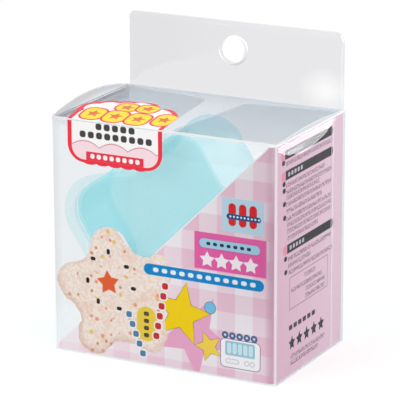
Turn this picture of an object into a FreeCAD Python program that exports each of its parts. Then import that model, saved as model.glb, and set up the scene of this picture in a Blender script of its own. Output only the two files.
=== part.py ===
import FreeCAD, Part
import math
import os

import Sketcher

# Star-shaped rice mold press in its retail pack: a two-piece soft plastic mold (cup and press lid)
# standing in a folded clear carton with a double hang header, a printed card insert and a seal label.
# Millimetres. X runs across the pack, Y from its front to its back, Z up; the origin is the middle
# of the footprint on the surface that the pack stands on.

SIZES = {
    # Carton: the clear sheet that it is folded from, and the room that it leaves round the mold.
    "film": 0.4,
    "mold_side_play": 0.73,
    "mold_headroom": 1.2,
    "mold_front_room": 8.0,
    "mold_back_room": 24.0,
    "crease_radius": 1.2,
    "seam_width": 13.7,
    "moving_gap": 0.3,
    "laid_gap": 0.05,
    # Hang header: the doubled sheet that stands up behind the lid.
    "header_side_inset": 1.0,
    "header_height": 34.5,
    "header_fold_radius": 0.9,
    "header_bow": 2.2,
    "header_corner": 4.0,
    "hang_hole_radius": 6.25,
    "hang_hole_rise": 21.5,
    # Lid, its tuck flap, and the dust flaps under it.
    "lid_bow_left": 4.2,
    "lid_bow_right": 1.6,
    "lid_side_play": 0.3,
    "hinge_inset": 2.2,
    "tuck_depth": 12.0,
    "tuck_lean": 6.0,
    "tuck_end_cut": 4.5,
    "tuck_corner": 9.0,
    "dust_front_play": 2.0,
    "dust_back_play": 3.0,
    "dust_back_taper": 5.6,
    "dust_gap_front": 2.0,
    "dust_gap_back": 9.5,
    "dust_corner": 5.0,
    "bottom_flap_length": 26.0,
    "bottom_tuck_depth": 12.0,
    # Printed card insert.
    "card": 0.35,
    "card_fold_radius": 3.0,
    "card_top_play": 1.2,
    "card_left_play": 1.2,
    "card_slope_inset": 2.2,
    "card_slope_foot": 2.6,
    "picture_centre_from_left": 32.1,
    "picture_centre_height": 30.1,
    "picture_reach": 31.0,
    "picture_tip_radius": 9.4,
    "picture_valley_reach": 22.2,
    "picture_valley_radius": 8.0,
    "picture_turn": 10.6,
    # Seal label, folded over the top front edge of the carton.
    "label": 0.12,
    "label_left": 8.3,
    "label_width": 47.0,
    "label_drop": 19.0,
    "label_reach": 25.5,
    "label_corner": 8.0,
    "label_scallop_depth": 0.7,
    # Mold: one five-armed star outline, set in or out by named amounts for each surface.
    "star_reach": 55.6,
    "star_tip_radius": 17.5,
    "star_valley_reach": 42.3,
    "star_valley_radius": 12.5,
    "star_turn": 3.0,
    "lid_plate": 1.6,
    "lid_edge_bevel": 0.4,
    "lid_over_rim": 0.9,
    "cup_rim_out": 0.8,
    "cup_rim_height": 2.2,
    "cup_rim_bevel": 0.3,
    "cup_depth": 36.1,
    "cup_draft": 2.4,
    "cup_wall": 1.3,
    "cup_floor_bevel": 3.2,
    "rib_height": 2.4,
    "rib_wall": 1.0,
    "rib_clearance": 0.3,
}

ARMS = 5
ARM_ANGLE = 360.0 / ARMS
HALF_ARM_ANGLE = ARM_ANGLE / 2
UPRIGHT = 90.0
HALF_TURN = 180.0
SHEET_NAME = "Sizes"
LABEL_SCALLOPS = 5

document = FreeCAD.newDocument("rice_mold_press")
sheet = document.addObject("Spreadsheet::Sheet", SHEET_NAME)
for row, (alias, value) in enumerate(SIZES.items(), start=1):
    sheet.set("A%d" % row, alias)
    sheet.set("B%d" % row, str(value))
    sheet.setAlias("B%d" % row, alias)
document.recompute()


# ---------------------------------------------------------------- sizes and formulas

class Size:
    """A length that knows its present value and the sheet formula that gives it."""

    def __init__(self, value, formula):
        self.value = value
        self.formula = formula

    def __add__(self, other):
        other = as_size(other)
        return Size(self.value + other.value, "(%s + %s)" % (self.formula, other.formula))

    def __sub__(self, other):
        other = as_size(other)
        return Size(self.value - other.value, "(%s - %s)" % (self.formula, other.formula))

    def __mul__(self, other):
        other = as_size(other)
        return Size(self.value * other.value, "(%s * %s)" % (self.formula, other.formula))

    def __truediv__(self, other):
        other = as_size(other)
        return Size(self.value / other.value, "(%s / %s)" % (self.formula, other.formula))

    def __neg__(self):
        return Size(-self.value, "(0 - %s)" % self.formula)

    __radd__ = __add__
    __rmul__ = __mul__


def as_size(number):
    if isinstance(number, Size):
        return number
    return Size(float(number), repr(float(number)))


def size(alias):
    return Size(SIZES[alias], "%s.%s" % (SHEET_NAME, alias))


def cosine(degrees):
    angle = as_size(degrees)
    return Size(math.cos(math.radians(angle.value)), "cos(%s)" % angle.formula)


def sine(degrees):
    angle = as_size(degrees)
    return Size(math.sin(math.radians(angle.value)), "sin(%s)" % angle.formula)


def arctangent(ratio):
    return Size(math.degrees(math.atan(ratio.value)), "atan(%s)" % ratio.formula)


# ---------------------------------------------------------------- bodies, sketches and features

sub_parts = []


def new_body(name):
    body = document.addObject("PartDesign::Body", name)
    body.Label = name
    sub_parts.append(body)
    return body


def place(body, along_x=0.0, along_y=0.0, along_z=0.0):
    for axis, distance in (("x", along_x), ("y", along_y), ("z", along_z)):
        body.setExpression("Placement.Base.%s" % axis, as_size(distance).formula)


def new_sketch(body, name, role, offset=0.0, turn=0.0, shift=(0.0, 0.0)):
    """A sketch on one of the body's origin planes, moved along and turned about its normal."""
    plane = [feature for feature in body.Origin.OriginFeatures if feature.Role == role][0]
    sketch = body.newObject("Sketcher::SketchObject", name)
    sketch.AttachmentSupport = [(plane, "")]
    sketch.MapMode = "FlatFace"
    sketch.setExpression("AttachmentOffset.Base.x", as_size(shift[0]).formula)
    sketch.setExpression("AttachmentOffset.Base.y", as_size(shift[1]).formula)
    sketch.setExpression("AttachmentOffset.Base.z", as_size(offset).formula)
    sketch.AttachmentOffset = FreeCAD.Placement(
        sketch.AttachmentOffset.Base, FreeCAD.Rotation(FreeCAD.Vector(0, 0, 1), 1.0))
    sketch.setExpression("AttachmentOffset.Rotation.Angle", as_size(turn).formula)
    return sketch


def bind(sketch, constraint, length):
    """Add a driving constraint and tie it to the sheet."""
    index = sketch.addConstraint(constraint)
    sketch.setExpression("Constraints[%d]" % index, as_size(length).formula)


def vector(point):
    return FreeCAD.Vector(as_size(point[0]).value, as_size(point[1]).value, 0)


def signed(sketch, kind, geometry, end, length):
    """Fix one coordinate of a point, measured from the sketch's origin."""
    length = as_size(length)
    if abs(length.value) < 1e-9:
        other_axis = -2 if kind == "DistanceX" else -1
        sketch.addConstraint(Sketcher.Constraint("PointOnObject", geometry, end, other_axis))
        return
    bind(sketch, Sketcher.Constraint(kind, -1, 1, geometry, end, length.value), length)


def outline(sketch, corners):
    """A closed outline. Each corner is (u, v) or (u, v, bend): bend is the radius of the arc that
    runs from this corner to the next, positive when the arc bulges to the right of its way."""
    first = sketch.GeometryCount
    count = len(corners)
    for index, corner in enumerate(corners):
        start, end = vector(corner), vector(corners[(index + 1) % count])
        if len(corner) == 2:
            sketch.addGeometry(Part.LineSegment(start, end), False)
            continue
        bend = as_size(corner[2]).value
        chord = end - start
        rise = math.sqrt(max(bend * bend - chord.Length ** 2 / 4, 0.0))
        left = FreeCAD.Vector(-chord.y, chord.x, 0).normalize()
        bulge = (start + end) * 0.5 + left * ((rise - bend) if bend > 0 else (-bend - rise))
        sketch.addGeometry(Part.Arc(start, bulge, end), False)
    for index, corner in enumerate(corners):
        geometry = first + index
        after = first + (index + 1) % count
        ends = arc_ends(sketch, geometry, vector(corner))
        next_ends = arc_ends(sketch, after, vector(corners[(index + 1) % count]))
        sketch.addConstraint(Sketcher.Constraint("Coincident", geometry, ends[1], after, next_ends[0]))
        signed(sketch, "DistanceX", geometry, ends[0], corner[0])
        signed(sketch, "DistanceY", geometry, ends[0], corner[1])
        if len(corner) == 3:
            bend = as_size(corner[2])
            radius = bend if bend.value > 0 else -bend
            across = (vector(corners[(index + 1) % count]) - vector(corner)).Length
            if abs(across - 2 * radius.value) < 1e-6:
                sketch.addConstraint(Sketcher.Constraint("Symmetric", geometry, 1, geometry, 2, geometry, 3))
            else:
                bind(sketch, Sketcher.Constraint("Radius", geometry, radius.value), radius)


def arc_ends(sketch, geometry, start):
    """Which end of a geometry is the given start point: (start end, other end)."""
    if (sketch.getPoint(geometry, 1) - start).Length < 1e-6:
        return 1, 2
    return 2, 1


def rectangle(sketch, left, right, low, high):
    outline(sketch, [(left, low), (right, low), (right, high), (left, high)])


def circle(sketch, u, v, radius):
    radius = as_size(radius)
    index = sketch.addGeometry(Part.Circle(vector((u, v)), FreeCAD.Vector(0, 0, 1), radius.value), False)
    signed(sketch, "DistanceX", index, 3, u)
    signed(sketch, "DistanceY", index, 3, v)
    bind(sketch, Sketcher.Constraint("Radius", index, radius.value), radius)


def pad(body, sketch, length, midplane=False, reverse=False):
    feature = body.newObject("PartDesign::Pad", sketch.Name + "_pad")
    feature.Profile = sketch
    feature.Midplane = midplane
    feature.Reversed = reverse
    feature.setExpression("Length", as_size(length).formula)
    sketch.Visibility = False
    document.recompute()
    return feature


def cut_through(body, sketch):
    """Cut the sketch right through the body, and make sure that it took something away."""
    before = body.Shape.Volume
    feature = body.newObject("PartDesign::Pocket", sketch.Name + "_cut")
    feature.Profile = sketch
    feature.Type = "ThroughAll"
    feature.Midplane = True
    document.recompute()
    if body.Shape.Volume >= before:
        raise RuntimeError("%s cuts nothing" % sketch.Name)
    return feature


def loft(body, name, lower, upper):
    feature = body.newObject("PartDesign::AdditiveLoft", name)
    feature.Profile = lower
    feature.Sections = [upper]
    feature.Ruled = True
    document.recompute()
    return feature


def edges_at(shape, height, tolerance=1e-4):
    """Names of the edges that lie wholly at one height along the body's own Z axis."""
    names = []
    for index, edge in enumerate(shape.Edges, start=1):
        box = edge.BoundBox
        if abs(box.ZMin - height) < tolerance and abs(box.ZMax - height) < tolerance:
            names.append("Edge%d" % index)
    return names


def upright_edges(shape, keep):
    """Names of the straight edges along Z whose middle point passes the test."""
    names = []
    for index, edge in enumerate(shape.Edges, start=1):
        box = edge.BoundBox
        if box.ZLength > 0.1 and box.XLength < 1e-6 and box.YLength < 1e-6 and keep(box.Center):
            names.append("Edge%d" % index)
    return names


def round_edges(body, name, edge_names, radius):
    base = body.Tip
    feature = body.newObject("PartDesign::Fillet", name)
    feature.Base = (base, edge_names)
    feature.setExpression("Radius", as_size(radius).formula)
    body.Tip = feature
    document.recompute()
    return feature


def bevel_edges(body, name, edge_names, length):
    base = body.Tip
    feature = body.newObject("PartDesign::Chamfer", name)
    feature.Base = (base, edge_names)
    feature.setExpression("Size", as_size(length).formula)
    body.Tip = feature
    document.recompute()
    return feature


def faces_where(shape, keep):
    return ["Face%d" % index for index, face in enumerate(shape.Faces, start=1) if keep(face.BoundBox)]


def on_mouth(box):
    return box.ZLength < 1e-6 and abs(box.ZMin) < 1e-6


def draft_walls(body, name, angle):
    """Lean every upright wall inward, away from the face at the body's own zero level."""
    base = body.Tip
    feature = body.newObject("PartDesign::Draft", name)
    feature.Base = (base, faces_where(base.Shape, lambda box: box.ZLength > 1e-6))
    feature.NeutralPlane = (base, faces_where(base.Shape, on_mouth))
    feature.setExpression("Angle", angle.formula)
    body.Tip = feature
    document.recompute()


def hollow_out(body, name, wall):
    """Leave a wall of one thickness inside the outer faces, open at the zero level."""
    base = body.Tip
    feature = body.newObject("PartDesign::Thickness", name)
    feature.Base = (base, faces_where(base.Shape, on_mouth))
    feature.Reversed = True
    feature.setExpression("Value", wall.formula)
    body.Tip = feature
    document.recompute()
    if not 0 < body.Shape.Volume < base.Shape.Volume:
        raise RuntimeError("%s takes nothing out" % name)


# ---------------------------------------------------------------- the star outline

def star_curves(sketch, star):
    """Draw a rounded five-armed star about the sketch's origin, with its first arm along X. star
    gives the reach of the tips, their radius, the reach of the valleys and their radius."""
    reach, tip_radius, valley_reach, valley_radius = star
    tip_circle = reach - tip_radius
    valley_circle = valley_reach + valley_radius
    half = math.radians(HALF_ARM_ANGLE)
    across = valley_circle.value * math.sin(half)
    along = valley_circle.value * math.cos(half) - tip_circle.value
    square = math.degrees(
        math.atan2(across, along)
        - math.acos((tip_radius + valley_radius).value / math.hypot(along, across)))

    def arc(middle, circle, radius, start, end):
        """An arc with its centre on a circle about the star's axis, middle degrees round it."""
        at = (circle * cosine(middle), circle * sine(middle))
        index = sketch.addGeometry(Part.ArcOfCircle(
            Part.Circle(vector(at), FreeCAD.Vector(0, 0, 1), radius.value),
            math.radians(start), math.radians(end)), False)
        signed(sketch, "DistanceX", index, 3, at[0])
        signed(sketch, "DistanceY", index, 3, at[1])
        bind(sketch, Sketcher.Constraint("Radius", index, radius.value), radius)
        return index

    tips, valleys = [], []
    for arm in range(ARMS):
        ahead = ARM_ANGLE * arm
        beside = ahead + HALF_ARM_ANGLE
        tips.append(arc(ahead, tip_circle, tip_radius, ahead - square, ahead + square))
        valleys.append(arc(beside, valley_circle, valley_radius,
                           ahead + ARM_ANGLE - square + HALF_TURN, ahead + square + HALF_TURN))
    for arm in range(ARMS):
        after = (arm + 1) % ARMS
        for tip, tip_end, valley_end in ((tips[arm], 2, 2), (tips[after], 1, 1)):
            flank = sketch.addGeometry(Part.LineSegment(
                sketch.getPoint(tip, tip_end), sketch.getPoint(valleys[arm], valley_end)), False)
            sketch.addConstraint(Sketcher.Constraint("Tangent", flank, 1, tip, tip_end))
            sketch.addConstraint(Sketcher.Constraint("Tangent", flank, 2, valleys[arm], valley_end))


# ---------------------------------------------------------------- shared levels, worked out once

film, card, label = size("film"), size("card"), size("label")
moving_gap, laid_gap = size("moving_gap"), size("laid_gap")

# How far the mold's star reaches from its axis each way, as it stands in the carton.
tip_circle = size("star_reach") - size("star_tip_radius")
star_top = tip_circle * cosine(size("star_turn")) + size("star_tip_radius")
star_foot = tip_circle * cosine(-size("star_turn") + HALF_ARM_ANGLE) + size("star_tip_radius")
star_left = tip_circle * cosine(size("star_turn") + (UPRIGHT - ARM_ANGLE)) + size("star_tip_radius")
star_right = tip_circle * cosine(-size("star_turn") + (UPRIGHT - ARM_ANGLE)) + size("star_tip_radius")

# The carton is made to the mold: its outside is the mold, the room round it and the sheets.
mold_depth = size("lid_plate") + moving_gap + size("cup_depth")
card_side_layers = film * 2 + laid_gap + card
width = star_left + star_right + size("mold_side_play") + moving_gap + card_side_layers + film
depth = mold_depth + size("mold_front_room") + size("mold_back_room")
height = star_foot + star_top + size("mold_headroom") + moving_gap * 2 + film * 3
half_width, half_depth = width / 2, depth / 2
inner_half_width, inner_half_depth = half_width - film, half_depth - film
wall_top = height - film - moving_gap
hinge_y = half_depth - size("hinge_inset")
lid_half_width = half_width - size("lid_side_play")
card_right = inner_half_width - film - laid_gap
card_front = -(inner_half_depth - laid_gap)
card_low = film * 2 + laid_gap * 2
card_high = height - film - size("card_top_play")
CUT_MARGIN = 2.0


def bow_radius(chord, rise):
    """Radius of the arc that rises by a given amount over a chord."""
    return chord * chord / (rise * 8) + rise / 2


# ---------------------------------------------------------------- clear sleeve
# The four walls are one sheet wrapped round the pack. Its last panel laps inside the right wall
# and is glued there, so that strip of the wall is two sheets thick.

sleeve = new_body("clear_sleeve")
plan = new_sketch(sleeve, "sleeve_plan", "XY_Plane", film)
rectangle(plan, -half_width, half_width, -half_depth, half_depth)
rectangle(plan, -inner_half_width, inner_half_width, -inner_half_depth, inner_half_depth)
pad(sleeve, plan, wall_top - film)
outer_corners = upright_edges(sleeve.Shape, lambda at: abs(at.x) > inner_half_width.value + 1e-3)
round_edges(sleeve, "sleeve_outer_creases", outer_corners, size("crease_radius"))
inner_corners = upright_edges(sleeve.Shape, lambda at: abs(abs(at.x) - inner_half_width.value) < 1e-3)
round_edges(sleeve, "sleeve_inner_creases", inner_corners, size("crease_radius") - film)
seam = new_sketch(sleeve, "glued_seam_plan", "XY_Plane", card_low)
rectangle(seam, inner_half_width - film, inner_half_width + film / 2,
          half_depth - size("seam_width"), inner_half_depth - size("crease_radius"))
pad(sleeve, seam, card_high - card_low)

# ---------------------------------------------------------------- hang header
# The back wall runs on upward, folds over and comes down again in front, bowing forward a little.

header = new_body("hang_header")
header_top = height + size("header_height")
fold = size("header_fold_radius")
fold_height = header_top - fold
front_foot = height + moving_gap
bow_chord = fold_height - front_foot
bow_front = bow_radius(bow_chord, size("header_bow"))
header_front_y = half_depth - fold * 2
section = new_sketch(header, "header_section", "YZ_Plane")
outline(section, [
    (half_depth, wall_top),
    (half_depth, fold_height, fold),
    (header_front_y, fold_height, bow_front),
    (header_front_y, front_foot),
    (header_front_y + film, front_foot, -(bow_front - film)),
    (header_front_y + film, fold_height, -(fold - film)),
    (inner_half_depth, fold_height),
    (inner_half_depth, wall_top),
])
half_header = half_width - size("header_side_inset")
pad(header, section, half_header * 2, midplane=True)

corner = size("header_corner")
for name, side in (("header_left_corner", -1), ("header_right_corner", 1)):
    cutter = new_sketch(header, name, "XZ_Plane")
    outline(cutter, [
        ((half_header - corner) * side, header_top),
        ((half_header - corner) * side, header_top + CUT_MARGIN),
        ((half_header + CUT_MARGIN) * side, header_top + CUT_MARGIN),
        ((half_header + CUT_MARGIN) * side, header_top - corner),
        (half_header * side, header_top - corner, corner * side),
    ])
    cut_through(header, cutter)
hole = new_sketch(header, "hang_hole", "XZ_Plane")
circle(hole, 0, height + size("hang_hole_rise"), size("hang_hole_radius"))
cut_through(header, hole)

# ---------------------------------------------------------------- lid
# The lid hinges at the foot of the header and bows up between its two creases, more at the left.

def bowed_section(body, name, at, rise, low, high):
    """A strip in the YZ plane, level at its two ends and bowed up by rise between them."""
    sketch = new_sketch(body, name, "YZ_Plane", at)
    bend = bow_radius(hinge_y + half_depth, rise)
    outline(sketch, [
        (-half_depth, low, -bend),
        (hinge_y, low),
        (hinge_y, high, bend),
        (-half_depth, high),
    ])
    return sketch


lid = new_body("top_lid")
lid_left = bowed_section(lid, "lid_left", -lid_half_width, size("lid_bow_left"), height - film, height)
lid_right = bowed_section(lid, "lid_right", lid_half_width, size("lid_bow_right"), height - film, height)
loft(lid, "lid_sheet", lid_left, lid_right)

# ---------------------------------------------------------------- tuck flap
# It hangs from the front crease of the lid, behind the front wall and the card, and leans inward,
# so that its tip clears them as the lid swings up.

tuck = new_body("tuck_flap")
tuck_half = inner_half_width - size("tuck_end_cut")
tuck_depth, tuck_corner = size("tuck_depth"), size("tuck_corner")
face = new_sketch(tuck, "tuck_face", "XZ_Plane")
outline(face, [
    (-tuck_half, 0),
    (-tuck_half, -(tuck_depth - tuck_corner), tuck_corner * -1),
    (-(tuck_half - tuck_corner), -tuck_depth),
    (tuck_half - tuck_corner, -tuck_depth, tuck_corner * -1),
    (tuck_half, -(tuck_depth - tuck_corner)),
    (tuck_half, 0),
])
pad(tuck, face, film, reverse=True)
place(tuck, 0, card_front + card + moving_gap, height - film)
tuck.Placement = FreeCAD.Placement(tuck.Placement.Base, FreeCAD.Rotation(FreeCAD.Vector(1, 0, 0), 1.0))
tuck.setExpression("Placement.Rotation.Angle", size("tuck_lean").formula)

# ---------------------------------------------------------------- dust flaps
# One from the top of each side wall, laid under the lid. The back edge is cut back, so that each
# flap stays under the lid while both swing up. Their free ends leave a wedge between them.

dust_root = inner_half_width - moving_gap
dust_front = -inner_half_depth + size("dust_front_play")
dust_back = inner_half_depth - size("dust_back_play")
for name, side in (("dust_flap_left", -1), ("dust_flap_right", 1)):
    flap = new_body(name)
    plan = new_sketch(flap, name + "_plan", "XY_Plane")
    outline(plan, [
        (dust_root * side, dust_front),
        (size("dust_gap_front") * side, dust_front),
        (size("dust_gap_back") * side, dust_back - size("dust_back_taper")),
        (dust_root * side, dust_back),
    ])
    pad(flap, plan, film)
    tips = upright_edges(flap.Shape, lambda at: abs(at.x) < dust_root.value / 2)
    round_edges(flap, name + "_corners", tips, size("dust_corner"))
    place(flap, 0, 0, wall_top - film)

# ---------------------------------------------------------------- bottom closure
# A panel, a lip that tucks up inside the back wall, and a flap from each side wall on top of the
# panel, all glued shut.

bottom = new_body("bottom_panel")
plan = new_sketch(bottom, "bottom_plan", "XY_Plane")
rectangle(plan, -half_width, half_width, -half_depth, half_depth)
pad(bottom, plan, film)
corners = upright_edges(bottom.Shape, lambda at: True)
round_edges(bottom, "bottom_corners", corners, size("crease_radius"))

bottom_lip = new_body("bottom_tuck")
lip_half = inner_half_width - size("tuck_end_cut")
face = new_sketch(bottom_lip, "bottom_tuck_face", "XZ_Plane")
rectangle(face, -lip_half, lip_half, 0, size("bottom_tuck_depth"))
pad(bottom_lip, face, film)
place(bottom_lip, 0, inner_half_depth - laid_gap, film + laid_gap)

for name, side in (("bottom_flap_left", -1), ("bottom_flap_right", 1)):
    flap = new_body(name)
    plan = new_sketch(flap, name + "_plan", "XY_Plane")
    root = inner_half_width - laid_gap
    end = inner_half_width - size("bottom_flap_length")
    outline(plan, [
        (root * side, -(inner_half_depth - size("dust_front_play"))),
        (end * side, -(inner_half_depth - size("dust_back_taper"))),
        (end * side, inner_half_depth - size("dust_back_taper")),
        (root * side, inner_half_depth - size("dust_front_play")),
    ])
    pad(flap, plan, film)
    place(flap, 0, 0, film + laid_gap)

# ---------------------------------------------------------------- printed card insert
# One card with a front and a right side. The front is all that lies below a diagonal edge from the
# top right to the foot at the left, with a small star that stands out of that edge at the lower left.

insert = new_body("printed_insert")
card_left = -inner_half_width + size("card_left_play")
side_back = inner_half_depth - size("crease_radius")
fold_outside = size("card_fold_radius")
plan = new_sketch(insert, "card_plan", "XY_Plane", card_low)
outline(plan, [
    (card_left, card_front),
    (card_right - fold_outside, card_front, fold_outside),
    (card_right, card_front + fold_outside),
    (card_right, side_back),
    (card_right - card, side_back),
    (card_right - card, card_front + fold_outside, -(fold_outside - card)),
    (card_right - fold_outside, card_front + card),
    (card_left, card_front + card),
])
pad(insert, plan, card_high - card_low)

picture_x = -half_width + size("picture_centre_from_left")
picture_z = size("picture_centre_height")
slope_foot = card_low + size("card_slope_foot")
opening = new_sketch(insert, "card_opening", "XZ_Plane")
outline(opening, [
    (card_left - CUT_MARGIN, slope_foot),
    (card_left, slope_foot),
    (half_width - size("card_slope_inset"), card_high + CUT_MARGIN),
    (card_left - CUT_MARGIN, card_high + CUT_MARGIN),
])
cut_through(insert, opening)

picture_star = (size("picture_reach"), size("picture_tip_radius"),
                size("picture_valley_reach"), size("picture_valley_radius"))
picture = new_sketch(insert, "picture_star", "XZ_Plane", -card_front,
                     size("picture_turn") + UPRIGHT, (picture_x, picture_z))
star_curves(picture, picture_star)
pad(insert, picture, card, reverse=True)

# ---------------------------------------------------------------- seal label
# A sticker from the lid down over the front wall, in two skins because it bends at the lid's crease:
# a tab with a scalloped foot on the wall, and a lobed crest that follows the bow of the lid.

label_left = -half_width + size("label_left")
label_right = label_left + size("label_width")
label_low = height - size("label_drop")
label_corner = size("label_corner")
scallop = (size("label_width") - label_corner * 2) / LABEL_SCALLOPS
scallop_bend = bow_radius(scallop, size("label_scallop_depth"))
tab = new_body("seal_label_front")
tab_outline = new_sketch(tab, "label_tab", "XZ_Plane")
foot = [(label_left + label_corner + scallop * step, label_low, scallop_bend)
        for step in range(LABEL_SCALLOPS)]
outline(tab_outline, [
    (label_left, wall_top),
    (label_left, label_low + label_corner, label_corner),
    *foot,
    (label_right - label_corner, label_low, label_corner),
    (label_right, label_low + label_corner),
    (label_right, wall_top),
])
pad(tab, tab_outline, label)
place(tab, 0, -half_depth, 0)

# Each corner of the crest: shares of the label's width and reach, and the next lobe's radius as a
# share of the width.
CREST = (
    (1.00, 0.50, 0.30),
    (0.87, 0.86, 0.11),
    (0.72, 0.86, 0.20),
    (0.64, 1.06, 0.18),
    (0.46, 1.03, 0.18),
    (0.28, 0.94, 0.18),
    (0.10, 0.77, 0.15),
    (-0.01, 0.50, 0.50),
)
CREST_FOOT = 0.30
crest = new_body("seal_label_top")
crest_left = bowed_section(crest, "crest_left", -lid_half_width, size("lid_bow_left"), height, height + label)
crest_right = bowed_section(crest, "crest_right", lid_half_width, size("lid_bow_right"), height, height + label)
loft(crest, "crest_sheet", crest_left, crest_right)
crest_trim = new_sketch(crest, "crest_trim", "XY_Plane", height)
rectangle(crest_trim, -half_width, half_width, -half_depth - CUT_MARGIN * 2, half_depth)
lobes = [(label_left + size("label_width") * across, -half_depth + size("label_reach") * along,
          size("label_width") * bend) for across, along, bend in CREST]
outline(crest_trim, [
    (label_left, -half_depth - CUT_MARGIN),
    (label_right, -half_depth - CUT_MARGIN),
    *lobes,
    (label_left, -half_depth + size("label_reach") * CREST_FOOT),
])
cut_through(crest, crest_trim)

# ---------------------------------------------------------------- rice cup
# The mold stands on edge with its mouth to the back, so its own Z axis points to the front. The cup
# is drafted, with a beaded rim at the mouth and a bevel round its floor.

star_x = half_width - card_side_layers - moving_gap - star_right
star_z = film + moving_gap + star_foot
mouth_y = -half_depth + size("mold_front_room") + mold_depth
wall_inset = size("lid_over_rim") + size("cup_rim_out")


def stand_up(body):
    """Turn a body that is built along Z so that its Z axis points to the front of the pack."""
    place(body, star_x, mouth_y, star_z)
    body.Placement = FreeCAD.Placement(
        body.Placement.Base, FreeCAD.Rotation(FreeCAD.Vector(1, 0, 0), UPRIGHT))


def mold_star(inset):
    """The mold's star, set in all round by one amount."""
    return (size("star_reach") - inset, size("star_tip_radius") - inset,
            size("star_valley_reach") - inset, size("star_valley_radius") + inset)


def star_outline(body, name, inset, level):
    """The mold's star at a level of the body's own Z axis, turned as it stands in the carton."""
    sketch = new_sketch(body, name, "XY_Plane", level, -size("star_turn") + UPRIGHT)
    star_curves(sketch, mold_star(inset))
    return sketch


def star_slab(body, name, inset, level, thickness):
    pad(body, star_outline(body, name, inset, level), thickness)


cup = new_body("rice_cup")
star_slab(cup, "outside", wall_inset, 0, size("cup_depth"))
draft_walls(cup, "wall_draft", arctangent(size("cup_draft") / size("cup_depth")))
bevel_edges(cup, "floor_bevel", edges_at(cup.Shape, size("cup_depth").value), size("cup_floor_bevel"))
hollow_out(cup, "cavity", size("cup_wall"))
rim = star_outline(cup, "rim", size("lid_over_rim"), 0)
star_curves(rim, mold_star(wall_inset + size("cup_wall") / 2))
pad(cup, rim, size("cup_rim_height"))
bevel_edges(cup, "rim_bevel", edges_at(cup.Shape, 0.0), size("cup_rim_bevel"))
stand_up(cup)

# ---------------------------------------------------------------- press lid
# A star plate that presses the rice: its rib fits inside the mouth of the cup in use. In the pack it
# lies over the floor of the cup, and the rib goes round the floor's bevelled edge.

press = new_body("press_lid")
plate_back = size("cup_depth") + moving_gap
rib_outside = wall_inset + size("cup_wall") + size("rib_clearance")
star_slab(press, "rib", rib_outside, plate_back - size("rib_height"), size("rib_height"))
cut_through(press, star_outline(press, "rib_inside", rib_outside + size("rib_wall"), plate_back))
star_slab(press, "plate", 0, plate_back, size("lid_plate"))
bevel_edges(press, "plate_bevel", edges_at(press.Shape, (plate_back + size("lid_plate")).value),
            size("lid_edge_bevel"))
stand_up(press)

# ---------------------------------------------------------------- check and write

document.recompute()
for item in document.Objects:
    if "Invalid" in item.State or "Error" in item.State:
        raise RuntimeError("%s has failed" % item.Label)
for body in sub_parts:
    if body.Shape.isNull() or not body.Shape.isValid() or len(body.Shape.Solids) != 1:
        raise RuntimeError("%s is not one valid solid" % body.Label)
os.makedirs("parts", exist_ok=True)
for body in sub_parts:
    body.Shape.exportStep("parts/%s.step" % body.Label)
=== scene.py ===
import math

import bmesh
import bpy
from mathutils import Matrix, Vector


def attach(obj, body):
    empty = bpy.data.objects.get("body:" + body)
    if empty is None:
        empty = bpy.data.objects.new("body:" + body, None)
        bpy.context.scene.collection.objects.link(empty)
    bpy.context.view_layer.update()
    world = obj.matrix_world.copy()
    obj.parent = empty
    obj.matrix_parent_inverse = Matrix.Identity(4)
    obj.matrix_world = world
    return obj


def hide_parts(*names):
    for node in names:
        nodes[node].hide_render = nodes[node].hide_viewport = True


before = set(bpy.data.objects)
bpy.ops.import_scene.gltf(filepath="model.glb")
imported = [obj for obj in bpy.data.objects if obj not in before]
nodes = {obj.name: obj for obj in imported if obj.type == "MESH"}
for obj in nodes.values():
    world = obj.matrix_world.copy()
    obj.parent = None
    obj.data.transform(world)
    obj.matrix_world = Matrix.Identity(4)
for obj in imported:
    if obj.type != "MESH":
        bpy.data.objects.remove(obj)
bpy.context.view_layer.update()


# Table and daylight: a white table in a bright room, lit evenly from all round, with a soft
# panel high on each side and one behind that shows only in reflections.

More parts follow.
